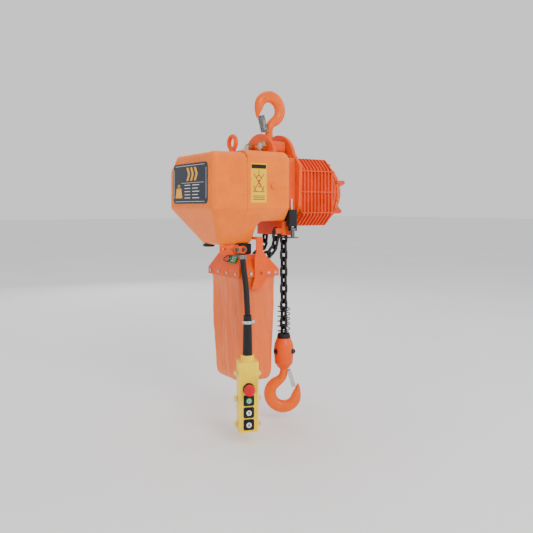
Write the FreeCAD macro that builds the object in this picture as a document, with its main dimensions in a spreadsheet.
import FreeCAD, Part
import math
import os
import Sketcher

from FreeCAD import Placement, Rotation, Vector

# Electric chain hoist, 500 kg, one fall of 6.3 x 19 mm chain.
# Frame: millimetres, +Z up, origin where the top hook rests on what carries it.
# +X runs along the motor axis to the motor's end, -Y is the front with the load chain.

os.makedirs("parts", exist_ok=True)
document = FreeCAD.newDocument("chain_hoist")

# ---------------------------------------------------------------- driving dimensions

DRIVING = {
    "axis_y": -8, "axis_z": -207, "body_back": 112, "body_front": 90,
    "body_top": 121, "cover_top": 126, "crease_z": 244, "cover_bottom": 322,
    "cover_end": 198, "seam_x": 117, "box_end": 74, "case_end": 4, "case_bottom": 272,
    "bottom_front": 42, "bottom_back": 30, "end_slant": 46, "wall": 4,
    "plate_inner": 23, "plate_outer": 31, "ear_radius": 63, "ear_top": 74, "ear_outer": 29,
    "ear_thick": 8, "pin_spread": 28, "pin_drop": 105, "pin_radius": 7,
    "holder_width": 36, "holder_length": 78, "holder_height": 26, "shank_radius": 9,
    "wire": 6.3, "pitch": 19, "link_outer": 20.2, "sheave_pitch_radius": 36.9,
    "chain_x": 9.5, "chain_end": 560, "guide_bottom": 304,
    "motor_half": 77, "motor_end": 127, "fin_high": 5, "fin_gap": 10,
    "cover_radius": 68, "cover_tip": 166,
    "bag_left": 118, "bag_right": 22, "bag_front": 60, "bag_back": 63, "rivet_z": 384,
    "bag_bottom": 622, "cap_top": 344,
    "pendant_x": -123, "pendant_y": -99, "pendant_top": 557, "pendant_bottom": 699,
    "pendant_width": 42, "pendant_depth": 36, "pendant_turn": -24, "boot_top": 464,
    "hook_turn": -35, "block_top": 536, "block_bottom": 603, "bowl_radius": 17.3,
    "bowl_drop": 60, "cable_radius": 6,
    "pinion_teeth": 10, "big_teeth": 70, "first_module": 1.25,
    "small_teeth": 9, "sheave_teeth": 41, "second_module": 2,
}

sheet = document.addObject("Spreadsheet::Sheet", "Dims")
for row, (alias, value) in enumerate(DRIVING.items(), start=1):
    sheet.set(f"A{row}", alias)
    sheet.set(f"B{row}", str(value))
    sheet.setAlias(f"B{row}", alias)
document.recompute()


class Size:
    """A number together with the spreadsheet expression that gives it."""

    def __init__(self, value, text):
        self.value = float(value)
        self.text = text

    @staticmethod
    def of(other):
        return other if isinstance(other, Size) else Size(other, repr(float(other)))

    def joined(self, other, sign, value):
        return Size(value, f"({self.text} {sign} {Size.of(other).text})")

    def __add__(self, other):
        return self.joined(other, "+", self.value + Size.of(other).value)

    def __sub__(self, other):
        return self.joined(other, "-", self.value - Size.of(other).value)

    def __mul__(self, other):
        return self.joined(other, "*", self.value * Size.of(other).value)

    def __truediv__(self, other):
        return self.joined(other, "/", self.value / Size.of(other).value)

    def __radd__(self, other):
        return Size.of(other) + self

    def __rsub__(self, other):
        return Size.of(other) - self

    def __rmul__(self, other):
        return Size.of(other) * self

    def __neg__(self):
        return Size(-self.value, f"(-1 * {self.text})")


class Dimensions:
    """Each driving dimension of the sheet as a Size."""

    def __getattr__(self, alias):
        return Size(sheet.get(alias), f"Dims.{alias}")


d = Dimensions()


def number(value):
    return value.value if isinstance(value, Size) else float(value)


def bind(item, name, value):
    setattr(item, name, number(value))
    if isinstance(value, Size):
        item.setExpression(name, value.text)


# ---------------------------------------------------------------- making features

QUARTER = {
    "X": Rotation(Vector(0, 1, 0), 90),
    "Y": Rotation(Vector(1, 0, 0), -90),
    "Z": Rotation(),
    "-Y": Rotation(Vector(1, 0, 0), 90),
    "-Z": Rotation(Vector(1, 0, 0), 180),
}
nodes = {}


def put(item, at, rotation=Rotation()):
    item.Placement = Placement(Vector(*[number(value) for value in at]), rotation)
    for letter, value in zip("xyz", at):
        if isinstance(value, Size):
            item.setExpression(f"Placement.Base.{letter}", value.text)
    return item


def rod(radius, length, at, along="Z"):
    item = document.addObject("Part::Cylinder", "Rod")
    bind(item, "Radius", radius)
    bind(item, "Height", length)
    return put(item, at, QUARTER[along])


def block(low, high):
    item = document.addObject("Part::Box", "Block")
    for name, start, stop in zip(("Length", "Width", "Height"), low, high):
        bind(item, name, Size.of(stop) - start)
    return put(item, low)


def fused(*items):
    if len(items) == 1:
        return items[0]
    item = document.addObject("Part::MultiFuse", "Fusion")
    item.Shapes = list(items)
    return item


def cut(base, *tools):
    item = document.addObject("Part::Cut", "Cut")
    item.Base = base
    item.Tool = fused(*tools)
    return item


def group(*items):
    item = document.addObject("Part::Compound", "Group")
    item.Links = list(items)
    return item


def rounded(base, radius, test):
    """Fillet of the edges of base whose shape passes the test."""
    document.recompute()
    item = document.addObject("Part::Fillet", "Rounded")
    item.Base = base
    edges = [index for index, edge in enumerate(base.Shape.Edges, start=1) if test(edge)]
    item.Edges = [(index, radius, radius) for index in edges]
    return item


def shaped(shape):
    item = document.addObject("Part::Feature", "Shaped")
    item.Shape = shape
    return item


def node(label, item):
    item.Label = label
    nodes[label] = item
    return item


def runs_along(direction):
    """Test for straight edges parallel to a direction."""
    def test(edge):
        if not isinstance(edge.Curve, Part.Line):
            return False
        return abs(edge.Curve.Direction.dot(Vector(*direction))) > 0.999
    return test


# ---------------------------------------------------------------- making bodies

def new_body():
    return document.addObject("PartDesign::Body", "Body")


def origin_plane(body, role):
    return next(plane for plane in body.Origin.OriginFeatures if plane.Role == role)


def new_sketch(body, role, offset):
    sketch = body.newObject("Sketcher::SketchObject", "Sketch")
    sketch.AttachmentSupport = (origin_plane(body, role), [""])
    sketch.MapMode = "FlatFace"
    sketch.AttachmentOffset = Placement(Vector(0, 0, number(offset)), Rotation())
    if isinstance(offset, Size):
        sketch.setExpression("AttachmentOffset.Base.z", offset.text)
    return sketch


def fix_point(sketch, index, position, corner):
    """Ties one sketch point to the sketch's origin by its two coordinates."""
    for kind, axis, value in zip(("DistanceX", "DistanceY"), (-2, -1), corner):
        if abs(number(value)) < 1e-9:
            sketch.addConstraint(Sketcher.Constraint("PointOnObject", index, position, axis))
            continue
        spot = sketch.addConstraint(
            Sketcher.Constraint(kind, -1, 1, index, position, number(value)))
        if isinstance(value, Size):
            sketch.setExpression(f"Constraints[{spot}]", value.text)


def draw_outline(sketch, corners):
    """Closed outline of straight lines through the given corners."""
    points = [Vector(number(x), number(y), 0) for x, y in corners]
    first = sketch.GeometryCount
    for start, stop in zip(points, points[1:] + points[:1]):
        sketch.addGeometry(Part.LineSegment(start, stop), False)
    count = len(points)
    for step in range(count):
        following = first + (step + 1) % count
        sketch.addConstraint(
            Sketcher.Constraint("Coincident", first + step, 2, following, 1))
    for step, corner in enumerate(corners):
        fix_point(sketch, first + step, 1, corner)


def draw_circle(sketch, centre, radius):
    spot = Vector(number(centre[0]), number(centre[1]), 0)
    index = sketch.addGeometry(Part.Circle(spot, Vector(0, 0, 1), number(radius)), False)
    fix_point(sketch, index, 3, centre)
    limit = sketch.addConstraint(Sketcher.Constraint("Radius", index, number(radius)))
    if isinstance(radius, Size):
        sketch.setExpression(f"Constraints[{limit}]", radius.text)


def pad(body, role, offset, length, corners=None, circles=()):
    sketch = new_sketch(body, role, offset)
    if corners:
        draw_outline(sketch, corners)
    for centre, radius in circles:
        draw_circle(sketch, centre, radius)
    feature = body.newObject("PartDesign::Pad", "Pad")
    feature.Profile = sketch
    bind(feature, "Length", length)
    document.recompute()
    return feature


def pocket(body, role, offset, length, corners=None, circles=()):
    """Pocket that starts at the sketch and cuts along the plane's own normal."""
    before = body.Shape.Volume
    sketch = new_sketch(body, role, offset)
    if corners:
        draw_outline(sketch, corners)
    for centre, radius in circles:
        draw_circle(sketch, centre, radius)
    feature = body.newObject("PartDesign::Pocket", "Pocket")
    feature.Profile = sketch
    feature.Reversed = True
    bind(feature, "Length", length)
    document.recompute()
    if body.Shape.Volume > before - 0.01:
        raise RuntimeError("a pocket cuts nothing: " + body.Name)
    return feature


def smooth(body, radius, test, kind="Fillet"):
    """Fillet or chamfer of the body's edges that pass the test."""
    tip = body.Tip
    names = [f"Edge{index}" for index, edge in enumerate(tip.Shape.Edges, start=1)
             if test(edge)]
    feature = body.newObject("PartDesign::" + kind, kind)
    feature.Base = (tip, names)
    bind(feature, "Radius" if kind == "Fillet" else "Size", radius)
    document.recompute()
    return feature


def turned(corners, at=(0, 0, 0), along="Z"):
    """Body turned from a profile of (radius, height) corners about its own axis."""
    body = new_body()
    sketch = new_sketch(body, "XZ_Plane", 0)
    draw_outline(sketch, corners)
    feature = body.newObject("PartDesign::Revolution", "Revolution")
    feature.Profile = sketch
    feature.ReferenceAxis = (sketch, ["V_Axis"])
    feature.Angle = 360
    document.recompute()
    return put(body, at, QUARTER[along])

# ---------------------------------------------------------------- hooks and chain shapes

def closed_wire(points):
    curve = Part.BSplineCurve()
    curve.interpolate(points, PeriodicFlag=True)
    return Part.Wire([curve.toShape()])


def oval(centre, across, out, wide, deep, count=12):
    """Oval section: wide along across, deep along out."""
    points = []
    for step in range(count):
        turn = 2 * math.pi * step / count
        side = across * (wide / 2 * math.cos(turn))
        points.append(centre + side + out * (deep / 2 * math.sin(turn)))
    return closed_wire(points)


# Forged hook, seen face on: angle about the bowl's centre, width of the section in the
# hook's plane, depth across it, and how far the section's middle lies from the bowl's wall
# beyond half its width.
HOOK_SECTIONS = [
    (140, 25.0, 19.5, 0.0), (160, 26.5, 20.5, 0.0), (180, 27.5, 21.0, 0.0),
    (210, 28.0, 21.5, 0.0), (240, 28.0, 22.0, 0.0), (270, 27.5, 22.0, 0.0),
    (300, 26.0, 21.0, 0.0), (330, 24.0, 19.0, 0.3), (355, 20.5, 16.5, 1.2),
    (372, 15.5, 13.0, 5.5), (384, 10.0, 9.0, 11.5), (392, 5.0, 5.0, 17.5),
]


def hook_shape():
    """Hook hanging down, bowl centre at the origin, shank up the Z axis, tip towards +X."""
    bowl = number(d.bowl_radius)
    shank = 2 * number(d.shank_radius)
    flat = Vector(1, 0, 0)
    out = Vector(0, 1, 0)
    wires = [oval(Vector(0, 0, height), flat, out, shank, shank)
             for height in (66, 60, 54, 48)]
    wires.append(oval(Vector(-4.5, 0, 35), Vector(0.93, 0, -0.37), out, 20.5, 18.5))
    for angle, wide, deep, extra in HOOK_SECTIONS:
        turn = math.radians(angle)
        radial = Vector(math.cos(turn), 0, math.sin(turn))
        middle = radial * (bowl + wide / 2 + extra)
        wires.append(oval(middle, -radial, out, wide, deep))
    return Part.makeLoft(wires, True)


def link_shape():
    """One chain link standing in the XZ plane, centred on the origin, long along Z."""
    half_width = number(d.link_outer - d.wire) / 2
    half_run = (number(d.pitch) + number(d.wire)) / 2 - half_width
    top = Vector(0, 0, half_run + half_width)
    bottom = Vector(0, 0, -half_run - half_width)
    right_top = Vector(half_width, 0, half_run)
    right_bottom = Vector(half_width, 0, -half_run)
    left_top = Vector(-half_width, 0, half_run)
    left_bottom = Vector(-half_width, 0, -half_run)
    path = Part.Wire([
        Part.LineSegment(left_bottom, left_top).toShape(),
        Part.Arc(left_top, top, right_top).toShape(),
        Part.LineSegment(right_top, right_bottom).toShape(),
        Part.Arc(right_bottom, bottom, left_bottom).toShape(),
    ])
    section = Part.Wire([Part.Circle(left_bottom, Vector(0, 0, 1),
                                     number(d.wire) / 2).toShape()])
    return Part.Solid(path.makePipeShell([section], True, True).Shells[0])


def chain_along(points, first_turn=0):
    """Links set out at one pitch along a smooth curve, every second one turned a quarter."""
    curve = Part.BSplineCurve()
    curve.interpolate([Vector(*point) for point in points])
    edge = curve.toShape()
    pitch = number(d.pitch)
    count = int(edge.Length / pitch)
    shape = link_shape()
    links = []
    for step in range(count):
        spot = edge.getParameterByLength(pitch * (step + 0.5))
        direction = edge.tangentAt(spot)
        direction.normalize()
        side = Vector(1, 0, 0) - direction * direction.x
        side.normalize()
        front = direction.cross(side)
        quarter = Rotation(direction, 90 * ((step + first_turn) % 2))
        upright = Rotation(side, front, direction, "ZXY")
        link = shape.copy()
        link.Placement = Placement(edge.valueAt(spot), quarter * upright)
        links.append(link)
    return links


def spring_shape(radius, wire_radius, coil_pitch, length):
    """Coil spring about the Z axis, rising from the origin."""
    helix = Part.makeHelix(coil_pitch, length, radius)
    section = Part.Wire([Part.Circle(Vector(radius, 0, 0), Vector(0, 1, 0),
                                     wire_radius).toShape()])
    return Part.Wire(helix.Edges).makePipeShell([section], True, True)


# ---------------------------------------------------------------- suspension

top_forging = put(shaped(hook_shape()), (0, 0, -d.bowl_radius), Rotation(Vector(0, 1, 0), 180))
holder_top = -(d.pin_drop - d.holder_height / 2)
holder_bottom = -(d.pin_drop + d.holder_height / 2)
stem = rod(d.shank_radius - 0.5, 45, (0, 0, holder_bottom - 0.5))

collar = turned([(8.5, 0), (13, 0), (13, 2.6), (8.5, 2.6)], (0, 0, holder_bottom + 7.2))
nut = turned([(8.5, 0), (11.5, 0), (11.5, 7), (8.5, 7)], (0, 0, holder_bottom + 0.1))
node("hook_nut", group(collar, nut))

holder = new_body()
half_holder = d.holder_length / 2
pad(holder, "XY_Plane", holder_bottom, d.holder_height,
    [(-d.holder_width / 2, -half_holder), (d.holder_width / 2, -half_holder),
     (d.holder_width / 2, half_holder), (-d.holder_width / 2, half_holder)])
smooth(holder, 8, runs_along((1, 0, 0)))
pocket(holder, "XY_Plane", holder_bottom, d.holder_height,
       circles=[((0, 0), d.shank_radius - 0.45)])
pocket(holder, "XY_Plane", holder_bottom, 10.5, circles=[((0, 0), 13.5)])
pocket(holder, "YZ_Plane", -d.holder_width / 2, d.holder_width,
       circles=[((side * d.pin_spread, -d.pin_drop), d.pin_radius + 0.05)
                for side in (-1, 1)])
node("hook_holder", holder)


def ear_outline(foot):
    """Half-round ear above a foot at the given height."""
    middle = d.ear_top + d.ear_radius
    corners = []
    for angle in range(165, 14, -10):
        turn = math.radians(angle)
        corners.append((d.ear_radius * math.cos(turn), d.ear_radius * math.sin(turn) - middle))
    return corners + [(d.ear_radius - 2, -foot), (-(d.ear_radius - 2), -foot)]


pin_bores = [((side * d.pin_spread, -d.pin_drop), d.pin_radius + 0.05) for side in (-1, 1)]
left_ear = new_body()
pad(left_ear, "YZ_Plane", -d.ear_outer, d.ear_thick, ear_outline(d.body_top))
pocket(left_ear, "YZ_Plane", -d.ear_outer, d.ear_thick, circles=pin_bores)
node("left_ear_plate", left_ear)

flange = new_body()
flange_outline = ear_outline(d.body_top)[:-2] + [
    (d.ear_radius + 8, -150), (70, -238), (52, -272), (-56, -272), (-82, -240), (-86, -150),
    (-(d.ear_radius - 2), -d.body_top)]
pad(flange, "YZ_Plane", d.plate_inner, d.plate_outer - d.plate_inner, flange_outline)
pocket(flange, "YZ_Plane", d.plate_inner, d.plate_outer - d.plate_inner,
       circles=pin_bores + [((d.axis_y, d.axis_z), 26)])
node("flange_plate", flange)

pins = []
cotter_x = -d.ear_outer - 12.3
for side in (-1, 1):
    start = -d.ear_outer - 14
    body = rod(d.pin_radius, d.plate_outer - start, (start, side * d.pin_spread, -d.pin_drop), "X")
    head = turned([(0, 0), (10, 0), (10, 3), (7, 6.5), (0, 8)],
                  (d.plate_outer, side * d.pin_spread, -d.pin_drop), "X")
    cotter_bore = rod(1.25, 30, (cotter_x, side * d.pin_spread - 15, -d.pin_drop), "Y")
    pins.append(cut(fused(body, head), cotter_bore))
node("suspension_pins", group(*pins))

nuts = []
for side in (-1, 1):
    hexagon = [(11.5 * math.cos(math.radians(angle)) + side * d.pin_spread,
                11.5 * math.sin(math.radians(angle)) - d.pin_drop)
               for angle in range(0, 360, 60)]
    castle = new_body()
    pad(castle, "YZ_Plane", -d.ear_outer - 10.5, 10.2, hexagon)
    pocket(castle, "YZ_Plane", -d.ear_outer - 10.5, 10.2,
           circles=[((side * d.pin_spread, -d.pin_drop), d.pin_radius)])
    crown = rod(9.4, 4, (-d.ear_outer - 14.4, side * d.pin_spread, -d.pin_drop), "X")
    slots = [rod(7.02, 6, (-d.ear_outer - 15, side * d.pin_spread, -d.pin_drop), "X")]
    for turn in (0, 60, 120):
        slot = block((0, 0, 0), (5, 24, 3.2))
        middle = Vector(-number(d.ear_outer) - 15, side * number(d.pin_spread), -number(d.pin_drop))
        lie = Placement(middle, Rotation(Vector(1, 0, 0), turn))
        slot.Placement = lie.multiply(Placement(Vector(0, -12, -1.6), Rotation()))
        slots.append(slot)
    nuts.append(fused(castle, cut(crown, *slots)))
cotters = [rod(1.2, 34, (cotter_x, side * d.pin_spread - 12, -d.pin_drop), "Y")
           for side in (-1, 1)]
node("castle_nuts", group(*nuts, *cotters))


def ring(radius, thick, at):
    """Ring standing in the YZ plane."""
    item = document.addObject("Part::Torus", "Ring")
    item.Radius1 = radius
    item.Radius2 = thick
    return put(item, at, QUARTER["X"])


eye = (-d.seam_x + 22, 6, -98)
node("eye_bolt", fused(ring(14.5, 5, eye), rod(8, 8, (eye[0], eye[1], -120.9)),
                       rod(6, 24, (eye[0], eye[1], -142))))

# ---------------------------------------------------------------- casings


def section(inset, top, bottom):
    """Hoist body seen along the motor axis: upright walls over a tapering lower half."""
    front = d.body_front - inset
    back = d.body_back - inset
    return [(-front, -d.crease_z), (-front, -(top + 14)), (-(front - 14), -(top + inset)),
            (back - 34, -(top + inset)), (back, -(top + 34)), (back, -d.crease_z),
            (d.bottom_back - inset / 2, -(bottom - inset)),
            (-(d.bottom_front - inset / 2), -(bottom - inset))]


def casing(start, stop, inset, top, bottom):
    body = new_body()
    pad(body, "YZ_Plane", start, Size.of(stop) - start, section(inset, top, bottom))
    return body


def slant_end(body, inset):
    """Cuts the lower part of the outer end back towards the bottom."""
    edge = d.cover_end - inset
    pocket(body, "XZ_Plane", -150, 300,
           [(-(edge + 10), -d.crease_z), (-edge, -d.crease_z),
            (-(edge - d.end_slant), -(d.cover_bottom + 10)), (-(edge + 10), -(d.cover_bottom + 10))])


def soften(body, radius, limit):
    """Rounds every edge of the casing that doesn't lie in the open face at x = limit."""
    low = number(limit)
    smooth(body, radius, lambda edge: abs(edge.BoundBox.XMin - low) > 0.1
           or abs(edge.BoundBox.XMax - low) > 0.1)


def cover_solid(inset, radius):
    body = casing(-(d.cover_end - inset), -d.seam_x, inset, d.cover_top, d.cover_bottom)
    slant_end(body, inset)
    soften(body, radius, -d.seam_x)
    return body


lug_inset = 8.6
cover_screw_spots = [(-(d.body_front - lug_inset), -(d.crease_z - 74)),
                     (-(d.body_front - lug_inset), -(d.crease_z - 19)),
                     (d.body_back - lug_inset, -(d.crease_z - 64)),
                     (d.body_back - lug_inset, -(d.crease_z - 14))]
lugs = [rod(6, 12, (-d.seam_x - 12, y, z), "X") for y, z in cover_screw_spots]
holes = [rod(2.1, 14, (-d.seam_x - 13, y, z), "X") for y, z in cover_screw_spots]
gland_spot = (-146, 22)
node("control_cover", cut(
    fused(cut(cover_solid(0, 12), cover_solid(d.wall, 8)), *lugs), *holes,
    rod(8.05, 20, (gland_spot[0], gland_spot[1], -d.cover_bottom - 8))))

node("cover_screws", group(*[
    fused(rod(4, 3, (-d.seam_x - 15.3, y, z), "X"), rod(2, 12, (-d.seam_x - 12.3, y, z), "X"))
    for y, z in cover_screw_spots]))


def case_solid(start, stop, inset, floor):
    body = casing(start, stop, inset, d.body_top, d.cover_bottom - 2)
    pocket(body, "XZ_Plane", -150, 300,
           [(-(d.box_end + inset), -(floor - inset)), (50, -(floor - inset)), (50, -340),
            (-(d.box_end + inset), -340)])
    return body


gear_outer = case_solid(-d.seam_x + 0.6, -d.case_end, 0, d.case_bottom)
soften(gear_outer, 10, -d.seam_x + 0.6)
gear_inner = case_solid(-d.seam_x, -(d.case_end + d.wall), d.wall, d.case_bottom)
boss = rod(6, 8, (-52, -d.body_front + 4, -196), "-Y")
shaft_spot = (d.axis_y, d.axis_z)
counter_y = d.axis_y + (d.pinion_teeth + d.big_teeth) * d.first_module / 2
seats = fused(rod(20, 6, (-d.case_end - 9, *shaft_spot), "X"),
              rod(14, 6, (-d.case_end - 9, counter_y, d.axis_z), "X"))
node("gear_case", cut(fused(cut(gear_outer, gear_inner), boss, seats),
                      rod(12.05, 20, (-18, *shaft_spot), "X"),
                      rod(9.55, 9, (-14, counter_y, d.axis_z), "X"),
                      rod(6.02, 30, (eye[0], eye[1], -143))))

plate_section = section(d.wall + 0.4, d.body_top, d.cover_bottom - 2)
gearbox_cover = new_body()
pad(gearbox_cover, "YZ_Plane", -d.box_end - 6, 6, plate_section)
smooth(gearbox_cover, 6, runs_along((1, 0, 0)))
pocket(gearbox_cover, "YZ_Plane", -d.box_end - 6, 6,
       circles=[(shaft_spot, 12.05), ((counter_y, d.axis_z), 9.55)])
below = block((-d.box_end - 8, -150, -340), (-d.box_end + 2, 150, -(d.case_bottom - 4.4)))
node("gearbox_cover", cut(gearbox_cover, below))

housing_low = (-d.case_end + 0.3, -70, -d.case_bottom)
housing_high = (d.plate_inner - 0.3, 54, -(d.body_top + 4))
shell = rounded(block(housing_low, housing_high), 14,
                lambda edge: runs_along((1, 0, 0))(edge) and edge.BoundBox.ZMin > -200)
inside = block((-d.case_end + 1.8, -67, -d.case_bottom - 5),
               (d.plate_inner - 1.8, 51, -(d.body_top + 7)))
node("chain_housing", cut(shell, inside, rod(39.2, 60, (-20, *shaft_spot), "X"),
                          block((-6, -80, -d.case_bottom - 5), (30, -60, -250))))

# ---------------------------------------------------------------- motor


def motor_section(half, corner):
    centre_y, centre_z = shaft_spot
    return [(centre_y - half, centre_z - half + corner), (centre_y - half + corner, centre_z - half),
            (centre_y + half - corner, centre_z - half), (centre_y + half, centre_z - half + corner),
            (centre_y + half, centre_z + half - corner), (centre_y + half - corner, centre_z + half),
            (centre_y - half + corner, centre_z + half), (centre_y - half, centre_z + half - corner)]


def motor_block(start, stop, half, corner):
    body = new_body()
    pad(body, "YZ_Plane", start, Size.of(stop) - start, motor_section(half, corner))
    smooth(body, 14, runs_along((1, 0, 0)))
    return body


motor_start = d.plate_outer + 0.3
core_half = d.motor_half - d.fin_high
pieces = [motor_block(motor_start, d.motor_end, core_half, 24)]
for step in range(9):
    fin = motor_start + 5 + step * d.fin_gap
    pieces.append(motor_block(fin, fin + 3.5, d.motor_half, 26))
for height in (-47, 0, 47):
    for side in (-1, 1):
        edge = d.axis_y + side * (d.motor_half - 2.5)
        pieces.append(block((motor_start, edge - 2.6, d.axis_z + height - 1.5),
                            (d.motor_end, edge + 2.6, d.axis_z + height + 1.5)))
bore_radius = core_half - 7
node("motor_housing", cut(fused(*pieces), rod(bore_radius, 110, (20, *shaft_spot), "X")))

stator_length = 52
stator_ring = rod(bore_radius - 0.05, stator_length, (46, *shaft_spot), "X")
laminations = cut(stator_ring, rod(36, 60, (40, *shaft_spot), "X"))
windings = [cut(rod(52, 9, (start, *shaft_spot), "X"), rod(38, 12, (start - 1, *shaft_spot), "X"))
            for start in (36.7, 98.3)]
node("stator", group(laminations, *windings))

rotor_core = rod(35.5, stator_length, (46, *shaft_spot), "X")
rotor_shaft = fused(rod(4, 40, (-d.box_end - 5.5, *shaft_spot), "X"),
                    rod(7.5, 204, (-52, *shaft_spot), "X"), rod(9, 94, (38, *shaft_spot), "X"))
rotor_body = fused(rotor_core, rotor_shaft)

frame_end = d.motor_end + 15
end_frame = turned([(13.05, 0), (66, 0), (73, 2), (66, 15), (13.05, 15)],
                   (d.motor_end + 0.3, *shaft_spot), "X")
node("motor_end_frame", cut(end_frame, rod(48, 6.2, (d.motor_end - 0.2, *shaft_spot), "X")))

vane_count = 6
dome = turned([(63, 0), (d.cover_radius, 0), (d.cover_radius, 9), (60, 17), (24, 20), (24, 16.5),
               (58, 13.5), (63, 8)], (frame_end + 0.6, *shaft_spot), "X")
vanes = []
for step in range(vane_count):
    turn = Rotation(Vector(1, 0, 0), 360 / vane_count * step + 10)
    vane = block((0, -4, 22), (d.cover_tip - frame_end - 0.6, 4, d.cover_radius + 4))
    centre = Vector(number(frame_end) + 0.6, number(d.axis_y), number(d.axis_z))
    vane.Placement = Placement(centre, turn).multiply(Placement(Vector(0, -4, 22), Rotation()))
    vanes.append(vane)
hub = turned([(0, 16.5), (24.5, 16.5), (24.5, 22), (0, 23.5)], (frame_end + 0.6, *shaft_spot), "X")
vane_room = rod(62.5, 14, (frame_end + 0.1, *shaft_spot), "X")
node("motor_end_cover", cut(fused(dome, hub, *vanes), vane_room))

# Brake inside the motor's end: coil and spring on the frame, lining disc on the rotor shaft.
brake_coil = cut(rod(44, 15, (108.8, *shaft_spot), "X"), rod(19, 20, (106, *shaft_spot), "X"))
brake_spring = put(shaped(spring_shape(14, 1.2, 4.4, 11)), (110.5, *shaft_spot), QUARTER["X"])
node("brake_coil", group(brake_coil, brake_spring))
node("brake_armature", cut(rod(46, 3, (124.4, *shaft_spot), "X"), rod(20, 5, (123, *shaft_spot), "X")))
brake_disc = cut(rod(45, 4, (127.6, *shaft_spot), "X"), rod(9, 6, (127, *shaft_spot), "X"))


def bearing(outer_radius, inner_radius, width, at):
    """Ball bearing across the X axis: two rings and the recessed shield between them."""
    start = (outer_radius + 2 * inner_radius) / 3
    stop = (2 * outer_radius + inner_radius) / 3
    return turned([(inner_radius, 0), (start, 0), (start, 0.6), (stop, 0.6), (stop, 0),
                   (outer_radius, 0), (outer_radius, width), (stop, width),
                   (stop, width - 0.6), (start, width - 0.6), (start, width),
                   (inner_radius, width)], at, "X")


# Gear train: motor shaft through the hollow sheave hub, countershaft behind it.

def gear(teeth, module, width, bore, at, phase=0):
    """Spur gear across the X axis with straight-sided teeth and room to run."""
    root = teeth * module / 2 - 1.15 * module
    tip = teeth * module / 2 + 0.8 * module
    step = 2 * math.pi / teeth
    corners = []
    for index in range(teeth):
        middle = step * index + phase
        for radius, part in ((root, -0.30), (tip, -0.11), (tip, 0.11), (root, 0.30)):
            angle = middle + step * part
            corners.append(Vector(0, radius * math.cos(angle), radius * math.sin(angle)))
    face = Part.Face(Part.makePolygon(corners + corners[:1]))
    wheel = face.extrude(Vector(width, 0, 0))
    if bore:
        wheel = wheel.cut(Part.makeCylinder(bore, width, Vector(), Vector(1, 0, 0)))
    return put(shaped(wheel), at)


pinion_teeth = int(number(d.pinion_teeth))
big_teeth = int(number(d.big_teeth))
small_teeth = int(number(d.small_teeth))
sheave_teeth = int(number(d.sheave_teeth))
first_module = number(d.first_module)
second_module = number(d.second_module)
first_x = -d.box_end + 6
second_x = -d.box_end + 26
counter_spot = (counter_y, d.axis_z)
drive_pinion = gear(pinion_teeth, first_module, 14, 4.02, (first_x, *shaft_spot))
node("rotor", group(rotor_body, drive_pinion, brake_disc))
counter_gear = gear(big_teeth, first_module, 12, 7, (first_x + 1, *counter_spot),
                    math.pi / big_teeth)
counter_shaft = fused(gear(small_teeth, second_module, 26, 0, (second_x, *counter_spot)),
                      rod(6.9, 40, (-d.box_end - 5.5, *counter_spot), "X"),
                      rod(6, 62, (-d.box_end - 5.5, *counter_spot), "X"))
node("countershaft", group(counter_shaft, counter_gear))
node("sheave_gear", gear(sheave_teeth, second_module, 22, 12.03, (second_x + 2, *shaft_spot)))


# Pocket wheel on a hollow hub that carries the sheave gear.
pockets = 6
wheel_start = d.chain_x - 12.5
wheel = fused(rod(38.5, 25, (wheel_start, *shaft_spot), "X"), rod(12, 76, (-46, *shaft_spot), "X"))
groove = cut(rod(45, 8, (d.chain_x - 4, *shaft_spot), "X"),
             rod(24, 10, (d.chain_x - 5, *shaft_spot), "X"))
seats = []
for step in range(pockets):
    turn = Rotation(Vector(1, 0, 0), 360 / pockets * step - 45)
    seat = block((0, 0, 0), (21.4, 33, 20))
    centre = Vector(number(d.chain_x), number(d.axis_y), number(d.axis_z))
    seat.Placement = Placement(centre, turn).multiply(Placement(Vector(-10.7, -16.5, 30.6), Rotation()))
    seats.append(seat)
node("load_sheave", cut(wheel, groove, rod(7.9, 80, (-48, *shaft_spot), "X"), *seats))
node("bearings", group(
    bearing(25.9, 12.03, 6, (d.plate_inner + 1, *shaft_spot)),
    bearing(13, 7.53, 7, (133.5, *shaft_spot)),
    bearing(12, 4.03, 5, (-d.box_end - 5.5, *shaft_spot)),
    bearing(9.5, 6.95, 5, (-d.box_end - 5.5, *counter_spot)),
    bearing(9.5, 6.03, 5, (-d.case_end - 9, *counter_spot))))

guide_low = (d.chain_x - 15, d.axis_y - 56, -d.guide_bottom)
guide_high = (d.chain_x + 15 - 2, d.axis_y + 54, -d.case_bottom - 0.4)
guide = rounded(block(guide_low, guide_high), 8, runs_along((0, 0, 1)))
load_y = d.axis_y - d.sheave_pitch_radius
slack_y = d.axis_y + d.sheave_pitch_radius


def chain_slot(y, spare=0):
    """Cross-shaped passage that fits both ways a link stands, with room for a leaning chain."""
    return [block((d.chain_x - 11 - spare, y - 4.2 - spare, -310), (d.chain_x + 11 + spare, y + 4.2 + spare, -260)),
            block((d.chain_x - 4.2 - spare, y - 11 - spare, -310), (d.chain_x + 4.2 + spare, y + 11 + spare, -260))]


tail_x, tail_y, tail_top = -17, -52, -292
cheeks = [block((tail_x - 5, tail_y + near, tail_top - 8),
                (guide_low[0] + 0.5, tail_y + near + 3, tail_top + 4))
          for near in (-7.4, 4.4)]
tail_pin = rod(2.4, 14, (tail_x, tail_y - 7, tail_top - 2.6), "Y")
node("chain_guide", cut(fused(guide, *cheeks, tail_pin), *chain_slot(load_y),
                        *chain_slot(slack_y, 1.8)))

# Load chain from the sheave's front down to the hook block, and the slack chain behind.
link = link_shape()
straight = int((number(d.chain_end) + number(d.axis_z)) / number(d.pitch) + 0.5)


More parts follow.
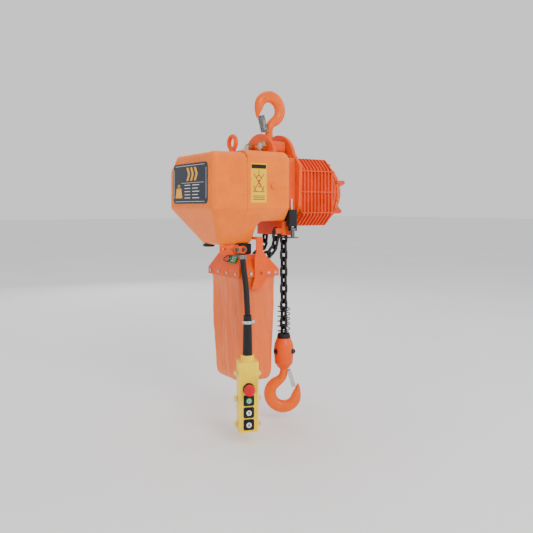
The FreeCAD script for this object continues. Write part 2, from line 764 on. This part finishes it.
def hanging_links(y, steps, first_quarter, rise=0):
    links = []
    for step in steps:
        drop = number(d.axis_z) - number(d.pitch) * (step + 0.5) + rise
        turn = Rotation(Vector(0, 0, 1), 90 * ((step + first_quarter) % 2))
        copy = link.copy()
        copy.Placement = Placement(Vector(number(d.chain_x), y, drop), turn)
        links.append(copy)
    return links


load_links = hanging_links(number(load_y), range(1, straight), 1, 0.3)
node("load_chain", shaped(Part.Compound(load_links)))

wrapped = []
for step in range(6):
    angle = math.radians(15 + 30 * step)
    reach = number(d.sheave_pitch_radius) * math.cos(math.radians(15))
    spot = Vector(number(d.chain_x), number(d.axis_y) + reach * math.cos(angle),
                  number(d.axis_z) + reach * math.sin(angle))
    copy = link.copy()
    lean = Rotation(Vector(1, 0, 0), math.degrees(angle))
    copy.Placement = Placement(spot, lean * Rotation(Vector(0, 0, 1), 90 * ((step + 1) % 2)))
    wrapped.append(copy)
leaving_link = hanging_links(number(load_y), range(1), 1)
slack_links = hanging_links(number(slack_y), range(5), 0)
slack_route = [(9.5, 28.9, -302), (7, 28, -320), (-6, 22, -338), (-24, 12, -349), (-45, 4, -362),
               (-56, 0, -392), (-58, 0, -420)]
tail_route = [(tail_x, tail_y, tail_top), (-18, -51, -318), (-23, -46, -337), (-32, -40, -347),
              (-45, -31, -353), (-54, -22, -372), (-58, -18, -420)]
resting_links = chain_along(slack_route, 1) + chain_along(tail_route, 0)
node("slack_chain", shaped(Part.Compound(wrapped + leaving_link + slack_links + resting_links)))

# ---------------------------------------------------------------- load block

load_x = d.chain_x
swing = Rotation(Vector(0, 0, 1), number(d.hook_turn))
block_axis = (load_x, load_y)
cap_profile = [(11.8, 0), (15, 0), (15, 4), (13.5, 9.5), (11.8, 9.5)]
node("rubber_buffer", turned(cap_profile, (*block_axis, -d.block_top + 0.1)))
node("buffer_spring", put(shaped(spring_shape(13.4, 1.2, 11, 62)),
                          (*block_axis, -d.block_top + 10.9)))
block_profile = [(0, 0), (15.5, 0), (21, -13), (22.8, -26), (20.5, -56), (13, -67), (0, -67)]
bolt_z = -d.block_top - 28.5
clamp_x = load_x + 11
head_sink = 18.5
pin_sink = 20.6


def hexagon(radius, length, at, along):
    item = document.addObject("Part::Prism", "Hexagon")
    item.Polygon = 6
    bind(item, "Circumradius", radius)
    bind(item, "Height", length)
    return put(item, at, QUARTER[along])


def block_half(low_y, high_y):
    """Half of the hook block on one side of its upright joint face."""
    half = document.addObject("Part::Common", "Half")
    half.Base = turned(block_profile, (*block_axis, -d.block_top))
    half.Tool = block((load_x - 30, load_y + low_y, -d.block_bottom - 5),
                      (load_x + 30, load_y + high_y, -d.block_top + 5))
    chain_room = [block((load_x - across, load_y - along, -d.block_top - 41),
                        (load_x + across, load_y + along, -d.block_top + 5))
                  for across, along in ((10.9, 4.2), (4.2, 10.9))]
    swivel_room = rod(14.6, 13, (*block_axis, -d.block_top - 61))
    neck = rod(d.shank_radius + 0.35, 30, (*block_axis, -d.block_bottom - 8))
    clamp_bore = rod(3.05, 60, (clamp_x, load_y - 30, bolt_z), "Y")
    sinks = [rod(6.4, 12, (clamp_x, load_y - head_sink - 12, bolt_z), "Y"),
             rod(6.4, 12, (clamp_x, load_y + head_sink, bolt_z), "Y"),
             rod(6.4, 12, (load_x - pin_sink - 12, load_y, bolt_z), "X")]
    pin_bore = rod(3.05, 31, (load_x - 23, load_y, bolt_z), "X")
    return cut(half, *chain_room, swivel_room, neck, clamp_bore, pin_bore, *sinks)


node("hook_block_rear", block_half(0.1, 30))
node("hook_block_front", block_half(-30, -0.1))
node("block_bolts", group(
    fused(rod(3, 2 * head_sink + 2, (clamp_x, load_y - head_sink - 1, bolt_z), "Y"),
          hexagon(5.6, 4, (clamp_x, load_y - head_sink - 4.05, bolt_z), "Y"),
          hexagon(5.6, 4, (clamp_x, load_y + head_sink + 0.05, bolt_z), "Y")),
    fused(rod(3, pin_sink + 8.5, (load_x - pin_sink - 1, load_y, bolt_z), "X"),
          hexagon(5.6, 4, (load_x - pin_sink - 4.05, load_y, bolt_z), "X"))))

hook_spot = Vector(number(load_x), number(load_y), -number(d.block_bottom) - number(d.bowl_drop) + 3)
load_forging = put(shaped(hook_shape()), tuple(hook_spot), swing)
load_stem = rod(d.shank_radius - 0.5, 19.5, (*block_axis, -d.block_bottom - 1))
swivel_nut = rod(14, 8, (*block_axis, -d.block_top - 60.7))
lug_local = Vector(11, 0, 48)


def latch_parts(place):
    """Lug, pin and latch of a hook whose bowl centre and facing are given by place."""
    lug = rod(4.2, 9, (0, 0, 0), "Y")
    lug.Placement = place.multiply(Placement(lug_local + Vector(0, -4.5, 0), QUARTER["Y"]))
    pin = rod(2, 19, (0, 0, 0), "Y")
    pin.Placement = place.multiply(Placement(lug_local + Vector(0, -9.5, 0), QUARTER["Y"]))
    cheeks = cut(block((-3, -7.6, -36), (6.4, 7.6, 3)), block((-6, -6, -50), (4.9, 6, 10)),
                 rod(2.05, 30, (0, -15, 0), "Y"))
    tilt = Placement(lug_local, Rotation(Vector(0, 1, 0), -16))
    latch = group(cheeks)
    latch.Placement = place.multiply(tilt)
    return lug, pin, latch


load_place = Placement(hook_spot, swing)
lug, pin, latch = latch_parts(load_place)
swivel_ring = cut(swivel_nut, rod(d.shank_radius, 20, (*block_axis, -d.block_top - 65)))
node("load_hook", group(cut(fused(load_forging, load_stem, lug), pin), swivel_ring))
node("load_latch", group(latch, pin))

top_place = Placement(Vector(0, 0, -number(d.bowl_radius)), Rotation(Vector(0, 1, 0), 180))
lug, pin, latch = latch_parts(top_place)
node("top_hook", cut(fused(top_forging, stem, lug), pin))
node("top_latch", group(latch, pin))

# ---------------------------------------------------------------- electrical parts in the cover

panel = block((-d.box_end - 12, -70, -262), (-d.box_end - 10, 70, -150))
contactors = [
    fused(block((-d.box_end - 58, y, -205), (-d.box_end - 12.3, y + 44, -150)),
          block((-d.box_end - 66, y + 6, -196), (-d.box_end - 57.9, y + 38, -159)))
    for y in (-58, -8)]
transformer = fused(block((-d.box_end - 46, 42, -215), (-d.box_end - 12.3, 84, -165)),
                    block((-d.box_end - 54, 48, -208), (-d.box_end - 45.9, 78, -172)))
node("mounting_panel", group(panel, transformer))
terminal_steps = [block((-d.box_end - 38, -58 + 15 * step, -258),
                        (-d.box_end - 31.9, -49 + 15 * step, -240)) for step in range(8)]
terminals = fused(block((-d.box_end - 32, -60, -262), (-d.box_end - 12.3, 60, -236)), *terminal_steps)
node("contactors", group(*contactors, terminals))

gland_top = -d.cover_bottom
gland = turned([(6.5, -6), (11, -6), (13, -4), (13, -0.1), (8, -0.1), (8, 12), (6.5, 12)],
               (*gland_spot, gland_top))
node("power_gland", gland)

# ---------------------------------------------------------------- plates on the casing

node("name_plate", rounded(block((-d.cover_end - 1.2, -66, -234), (-d.cover_end - 0.05, 88, -148)), 10,
                           runs_along((1, 0, 0))))
node("warning_label", block((-d.seam_x + 8, -d.body_front - 0.5, -232),
                            (-d.seam_x + 48, -d.body_front - 0.05, -149)))

# ---------------------------------------------------------------- limit switch at the chain guide

switch_low = (d.chain_x - 13, -84, -284)
switch_high = (d.chain_x + 9, -70.4, -247)
switch_box = rounded(block(switch_low, switch_high), 2.5, runs_along((0, 0, 1)))
switch_wire = rod(1.7, 24, (d.chain_x - 2, -77, -246.9))
lever_y = -77.2
lever_arm = cut(block((d.chain_x - 15, lever_y - 3, -310.5), (d.chain_x + 15, load_y + 17, -308)),
                block((d.chain_x - 11.6, load_y - 11.6, -315), (d.chain_x + 11.6, load_y + 40, -300)))
lever_post = block((d.chain_x - 4, lever_y - 3, -308.5), (d.chain_x + 4, lever_y + 1, -290))
lever_hub = rod(4, 12, (d.chain_x - 6, lever_y - 1, -290), "X")
lever_bore = rod(1.55, 40, (-20, lever_y - 1, -290), "X")
node("limit_lever", cut(fused(lever_arm, lever_post, lever_hub), lever_bore))
lever_cheeks = [block((x, lever_y - 5, -294), (x + 2.5, lever_y + 3, -284.1))
                for x in (d.chain_x - 9, d.chain_x + 6.5)]
lever_pin = fused(rod(1.5, 19, (d.chain_x - 9.5, lever_y - 1, -290), "X"), *lever_cheeks)
node("limit_switch", group(switch_box, switch_wire, lever_pin))

# ---------------------------------------------------------------- bracket, socket and chain bag

front_edge = -d.bottom_front + 4
bracket_plate = cut(block((-153, front_edge - 2, -342), (-108, front_edge + 2, -d.cover_bottom - 0.3)),
                    block((-147, -60, -332), (-138, -20, -329)),
                    block((-128, -60, -333), (-124, -20, -328)))
node("cable_socket", rounded(block((-105, front_edge - 4, -343.4), (-76.5, front_edge + 26, -320.3)), 3,
                             runs_along((0, 1, 0))))
link_plate = new_body()
pad(link_plate, "XZ_Plane", -(front_edge - 4.3), 3,
    [(-119, -339), (-96, -342), (-90, -336), (-90, -330), (-96, -325), (-119, -326), (-123, -332)])
node("cable_bracket", group(bracket_plate, link_plate))
strain_bolts = [fused(rod(4.6, 3, (x, front_edge - 7.4, -332.5), "-Y"),
                      rod(2.6, 2.2, (x, front_edge - 10.3, -332.5), "-Y")) for x in (-115, -98)]
cable_top = (d.pendant_x + 9, -67, -352)
clamp = fused(rod(8.6, 7.7, (cable_top[0], cable_top[1], -350.2)),
              block((cable_top[0] - 5, cable_top[1], -348), (cable_top[0] + 5, front_edge - 7.6, -343.4)),
              block((cable_top[0] - 5, front_edge - 7.6, -348), (cable_top[0] + 5, front_edge - 4.6, -342.4)))
clamp_room = document.addObject("Part::Sphere", "Room")
clamp_room.Radius = 7.2
node("cable_clamp", group(cut(clamp, put(clamp_room, cable_top)), *strain_bolts))

bracket_x = -d.box_end + 0.2
bag_bar = fused(block((bracket_x, -36, -312), (bracket_x + 4, 26, -283)),
                block((bracket_x, -64, -312), (bracket_x + 12, 68, -306)))


def frustum(low, high, bottom, top):
    """Block that narrows from the rectangle low at the bottom to high at the top."""
    wires = []
    for (x0, y0, x1, y1), z in ((low, bottom), (high, top)):
        corners = [Vector(x0, y0, z), Vector(x1, y0, z), Vector(x1, y1, z), Vector(x0, y1, z)]
        wires.append(Part.makePolygon(corners + corners[:1]))
    return Part.makeLoft(wires, True, True)


left, right = -number(d.bag_left), -number(d.bag_right)
front, back = -number(d.bag_front), number(d.bag_back)
rivet_z = -number(d.rivet_z)
cap_top = -number(d.cap_top)
rim = (left - 4, front - 4, right + 4, back + 4)
inner_rim = (left - 2, front - 2, right + 2, back + 2)
crown = (left + 13, front + 15, right - 20, back - 15)
inner_crown = (left + 14, front + 16, right - 21, back - 16)
cap_outer = fused(block((*rim[:2], rivet_z - 8), (*rim[2:], rivet_z + 7)),
                  shaped(frustum(rim, crown, rivet_z + 7, cap_top)))
cap_inner = fused(block((*inner_rim[:2], rivet_z - 9), (*inner_rim[2:], rivet_z + 6.2)),
                  shaped(frustum(inner_rim, inner_crown, rivet_z + 6.2, cap_top - 2)))
mouth = block((-66, -50, cap_top - 60), (right + 1.9, 42, cap_top + 5))
node("bag_frame", cut(cap_outer, cap_inner, mouth))

bag_top = rivet_z + 5
bag_outer = frustum((left + 7, front + 6, right - 3, back - 6), (left, front, right, back),
                    -number(d.bag_bottom), bag_top)
bag_inner = frustum((left + 9, front + 8, right - 5, back - 8), (left + 2, front + 2, right - 2, back - 2),
                    -number(d.bag_bottom) + 2, bag_top + 1)
node("chain_bag", shaped(bag_outer.cut(bag_inner)))

hanger_outline = [(-79, -305.9), (-63, -305.9), (-63, -336), (-52, -349), (-52, -393), (-69, -418),
                  (-92, -418), (-84, -393), (-84, -349), (-79, -336)]
hangers = []
for plane_y in (front - 4.4, back + 7.4):
    hanger = new_body()
    pad(hanger, "XZ_Plane", -plane_y, 3, hanger_outline)
    pocket(hanger, "XZ_Plane", -plane_y - 1, 5, circles=[((-68, rivet_z), 4)])
    hangers.append(hanger)
node("bag_bracket", group(bag_bar, *hangers))

rivets = []
for step in range(4):
    y = front + 8 + (back - front - 16) * step / 3
    rivets.append(rod(3.2, 1.6, (rim[0] - 1.7, y, rivet_z), "X"))
    rivets.append(rod(3.2, 1.6, (rim[2] + 0.1, y, rivet_z), "X"))
for x in (left + 8, left + 26, right - 24, right - 6):
    rivets.append(rod(3.2, 1.6, (x, rim[1] - 1.7, rivet_z), "Y"))
    rivets.append(rod(3.2, 1.6, (x, rim[3] + 0.1, rivet_z), "Y"))
node("bag_rivets", group(*rivets))

# ---------------------------------------------------------------- pendant and its cable

CABLE_ROUTE = [(-114, -67, -352), (-114.3, -70.5, -372), (-116.5, -82, -400), (-121.5, -94, -430),
               (-123, -99, -464)]


def rounded_route(points, diameter):
    """Straight runs joined by tangent arcs, each as large as its two runs allow."""
    corners = [Vector(*point) for point in points]
    edges = []
    start = corners[0]
    for before, corner, after in zip(corners, corners[1:], corners[2:]):
        inward = (before - corner).normalize()
        outward = (after - corner).normalize()
        turn = math.pi - inward.getAngle(outward)
        reach = 0.45 * min((before - corner).Length, (after - corner).Length)
        radius = reach / math.tan(turn / 2)
        print("cable bend radius", round(radius, 1), "mm, diameters", round(radius / diameter, 1))
        first = corner + inward * reach
        last = corner + outward * reach
        bisector = (inward + outward).normalize()
        centre = corner + bisector * (radius / math.cos(turn / 2))
        middle = centre - bisector * radius
        edges.append(Part.LineSegment(start, first).toShape())
        edges.append(Part.Arc(first, middle, last).toShape())
        start = last
    edges.append(Part.LineSegment(start, corners[-1]).toShape())
    return Part.Wire(edges)


cable_radius = number(d.cable_radius)
cable_path = rounded_route(CABLE_ROUTE, 2 * cable_radius)
first_run = Vector(*CABLE_ROUTE[1]) - Vector(*CABLE_ROUTE[0])
cable_section = Part.Wire([Part.Circle(Vector(*CABLE_ROUTE[0]), first_run, cable_radius).toShape()])
cable = cable_path.makePipeShell([cable_section], True, False)
cable_volume = math.pi * cable_radius ** 2 * cable_path.Length
print("cable length", round(cable_path.Length, 1), "volume ratio", round(cable.Volume / cable_volume, 4))
node("pendant_cable", shaped(cable))

pendant_spot = Vector(number(d.pendant_x), number(d.pendant_y), -number(d.pendant_top))
pendant_place = Placement(pendant_spot, Rotation(Vector(0, 0, 1), number(d.pendant_turn)))
half_width = d.pendant_width / 2
half_depth = d.pendant_depth / 2
pendant_long = d.pendant_bottom - d.pendant_top


def on_pendant(item):
    item.Placement = pendant_place.multiply(item.Placement)
    for letter in "xyz":
        item.setExpression(f"Placement.Base.{letter}", None)
    return item


boot_long = d.pendant_top - 12 - d.boot_top
node("cable_boot", turned([(0, 0), (9.8, 0), (9.8, 14), (8.3, boot_long), (0, boot_long)],
                          (pendant_spot.x, pendant_spot.y, -d.pendant_top + 12)))
band = fused(
    cut(rod(10.2, 6, (pendant_spot.x, pendant_spot.y, -481)),
        rod(9.2, 8, (pendant_spot.x, pendant_spot.y, -482))),
    block((pendant_spot.x + 9.4, pendant_spot.y - 3, -481),
          (pendant_spot.x + 16, pendant_spot.y + 3, -475)))

button_z = {"estop": -54, "start": -77, "up": -101.5, "down": -126}


def shell_half(low_y, high_y):
    return rounded(block((-half_width, low_y, -pendant_long), (half_width, high_y, 0)), 5,
                   runs_along((0, 0, 1)))


front_shell = shell_half(-half_depth, -0.1)
front_room = block((-half_width + 2.5, -half_depth + 2.5, -pendant_long + 2.5), (half_width - 2.5, 5, -2.5))
face_recess = block((-half_width + 5, -half_depth - 1, -pendant_long + 4), (half_width - 5, -half_depth + 1, -30))
square_holes = [block((-8.1, -half_depth - 5, button_z[name] - 8.1), (8.1, -half_depth + 8, button_z[name] + 8.1))
                for name in ("start", "up", "down")]
estop_hole = rod(7.1, 12, (0, -half_depth + 8, button_z["estop"]), "-Y")
lug_heights = (-26, -78, -130)
lug_x = half_width + 2.4
front_lugs = [rod(4.6, 5.9, (side * lug_x, -0.1, z), "-Y") for side in (-1, 1) for z in lug_heights]
back_lugs = [rod(4.6, 5.9, (side * lug_x, 6, z), "-Y") for side in (-1, 1) for z in lug_heights]
lug_bores = [rod(1.55, 30, (side * lug_x, 12, z), "-Y") for side in (-1, 1) for z in lug_heights]
node("pendant_front", on_pendant(cut(fused(cut(front_shell, front_room), *front_lugs),
                                     face_recess, estop_hole, *square_holes, *lug_bores)))
back_shell = shell_half(0.1, half_depth)
back_room = block((-half_width + 2.5, -5, -pendant_long + 2.5), (half_width - 2.5, half_depth - 2.5, -2.5))
neck = rod(14, 14.4, (0, 0, -2.5))
node("pendant_back", on_pendant(cut(fused(cut(back_shell, back_room), neck, *back_lugs),
                                    *lug_bores, block((-30, -30, -2.6), (30, 0.1, 0.05)))))
screws = on_pendant(group(*[
    fused(rod(1.5, 13, (side * lug_x, 5.5, z), "-Y"),
          rod(2.2, 1.8, (side * lug_x, -6.05, z), "-Y"))
    for side in (-1, 1) for z in lug_heights]))
node("pendant_screws", group(screws, band))
node("contact_block", on_pendant(block((-15, -1, -138), (15, 13, -42))))
collar = on_pendant(turned([(7.1, 0), (12.5, 0), (11.5, 4), (7.1, 4)],
                           (0, -half_depth + 0.95, button_z["estop"]), "-Y"))
node("estop_button", on_pendant(turned(
    [(0, 0), (6.9, 0), (6.9, 17), (11.6, 18.5), (11.6, 22), (8.5, 26), (0, 27.5)],
    (0, -half_depth + 10, button_z["estop"]), "-Y")))


def frame_piece(z):
    outer = rounded(block((-10.8, -half_depth - 0.6, z - 10.8), (10.8, -half_depth + 0.95, z + 10.8)), 3,
                    runs_along((0, 1, 0)))
    return cut(outer, block((-8.1, -half_depth - 5, z - 8.1), (8.1, -half_depth + 5, z + 8.1)))


frames = on_pendant(group(*[frame_piece(button_z[name]) for name in ("start", "up", "down")]))
node("button_frames", group(collar, frames))
for name in ("start", "up", "down"):
    cap = rounded(block((-7.8, -half_depth - 3, button_z[name] - 7.8),
                        (7.8, -half_depth + 8, button_z[name] + 7.8)), 2.5, runs_along((0, 1, 0)))
    node(name + "_button", on_pendant(group(cap)))

# ---------------------------------------------------------------- check and export

document.recompute()
for item in document.Objects:
    if "Invalid" in item.State or "Error" in item.State:
        raise RuntimeError("not built: " + item.Label)
for label, item in nodes.items():
    if item.Shape.isNull() or not item.Shape.isValid():
        raise RuntimeError("bad shape: " + label)
    item.Shape.exportStep("parts/" + label + ".step")
print(len(nodes), "nodes")
